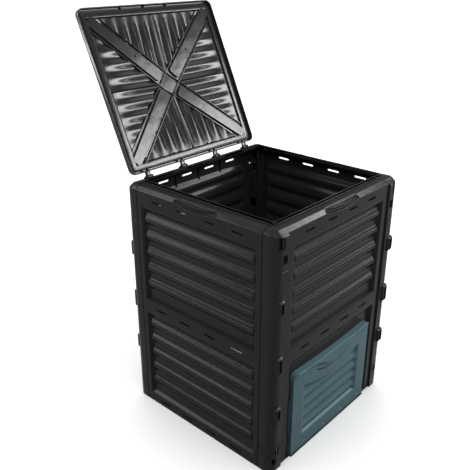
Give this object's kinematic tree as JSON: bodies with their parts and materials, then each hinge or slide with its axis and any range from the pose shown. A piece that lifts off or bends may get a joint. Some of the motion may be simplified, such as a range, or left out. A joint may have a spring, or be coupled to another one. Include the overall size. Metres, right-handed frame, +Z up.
{
  "type": "compost bin with lid",
  "caption": "Square moulded-plastic compost bin of snap-together ribbed wall panels and corner posts, with a hinged lid that swings open and a lift-up hatch at the foot of the front.",
  "frame": {"origin": "centre of the square footprint, on the ground", "axes": "+Z up; -Y out of the front wall with the hatch; the lid is hinged along the top of the +Y wall; +X to the right of someone who faces the hatch"},
  "size_m": [0.61, 0.8148, 1.2609],
  "materials": {
    "black_plastic": "satin moulded black",
    "lid_plastic": "satin moulded black with a soft sheen",
    "teal_plastic": "satin moulded grey-teal",
    "pin_plastic": "smooth black"
  },
  "bodies": {
    "bin": {"front_upper_panel": "black_plastic", "front_lower_panel": "black_plastic", "back_upper_panel": "black_plastic", "back_lower_panel": "black_plastic", "left_upper_panel": "black_plastic", "left_lower_panel": "black_plastic", "right_upper_panel": "black_plastic", "right_lower_panel": "black_plastic", "front_left_post": "black_plastic", "front_right_post": "black_plastic", "back_left_post": "black_plastic", "back_right_post": "black_plastic", "hinge_pin_1": "pin_plastic", "hinge_pin_2": "pin_plastic", "hinge_pin_3": "pin_plastic", "hinge_pin_4": "pin_plastic"},
    "lid": {"lid": "lid_plastic"},
    "hatch": {"hatch": "teal_plastic"}
  },
  "joints": [
    {"name": "lid_hinge", "type": "hinge", "parent": "bin", "child": "lid", "pos_m": [0, 0.2741, 0.7777], "axis": [1, 0, 0], "range_deg": [0, 114.77]},
    {"name": "hatch_slide", "type": "slide", "parent": "bin", "child": "hatch", "axis": [0, 0, 1], "range_m": [0, 0.035]}
  ]
}
